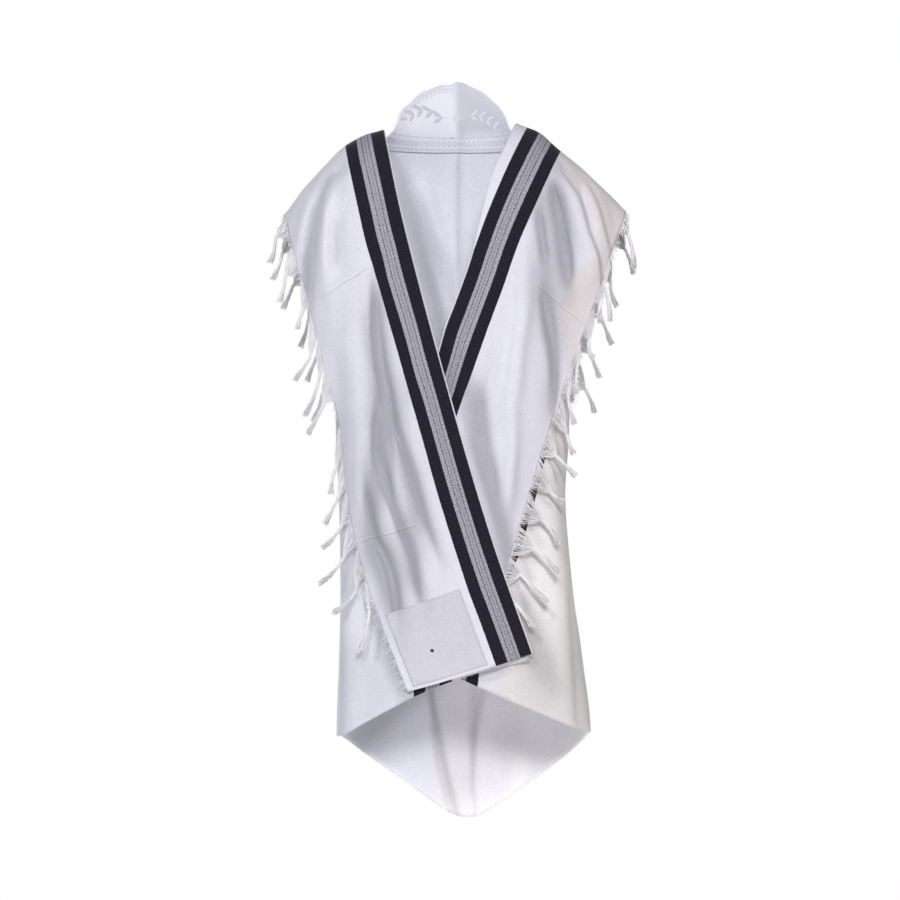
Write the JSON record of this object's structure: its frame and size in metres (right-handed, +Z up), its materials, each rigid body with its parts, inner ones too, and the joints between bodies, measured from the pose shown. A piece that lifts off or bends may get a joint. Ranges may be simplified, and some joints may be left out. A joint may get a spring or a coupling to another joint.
{
  "type": "tallit prayer shawl",
  "caption": "Large fringed wool prayer shawl, worn open at the neck, with both striped ends folded back over the shoulders and crossed in front, and a satin neckband.",
  "frame": {"origin": "between the shoulders, level with the foot of the collar, where the wearer carries the cloth", "axes": "+Z up, -Y to the front, +X to the right as seen from the front"},
  "size_m": [0.7009, 0.3247, 1.3256],
  "materials": {
    "wool": "fine plain-woven white wool with a woven black and grey melange stripe band",
    "satin": "white jacquard satin with a leaf spray between two chain borders",
    "yarn": "soft twisted white wool yarn, fluffy at the tips"
  },
  "bodies": {
    "root": {"back": "wool", "front_left": "wool", "front_right": "wool", "flap_left": "wool", "flap_right": "wool", "atarah": "satin", "corner_patch_left_front": "wool", "corner_patch_left_back": "wool", "corner_patch_right_front": "wool", "corner_patch_right_back": "wool", "fringe_left_front": "yarn", "fringe_left_back": "yarn", "fringe_right_front": "yarn", "fringe_right_back": "yarn"}
  },
  "joints": []
}
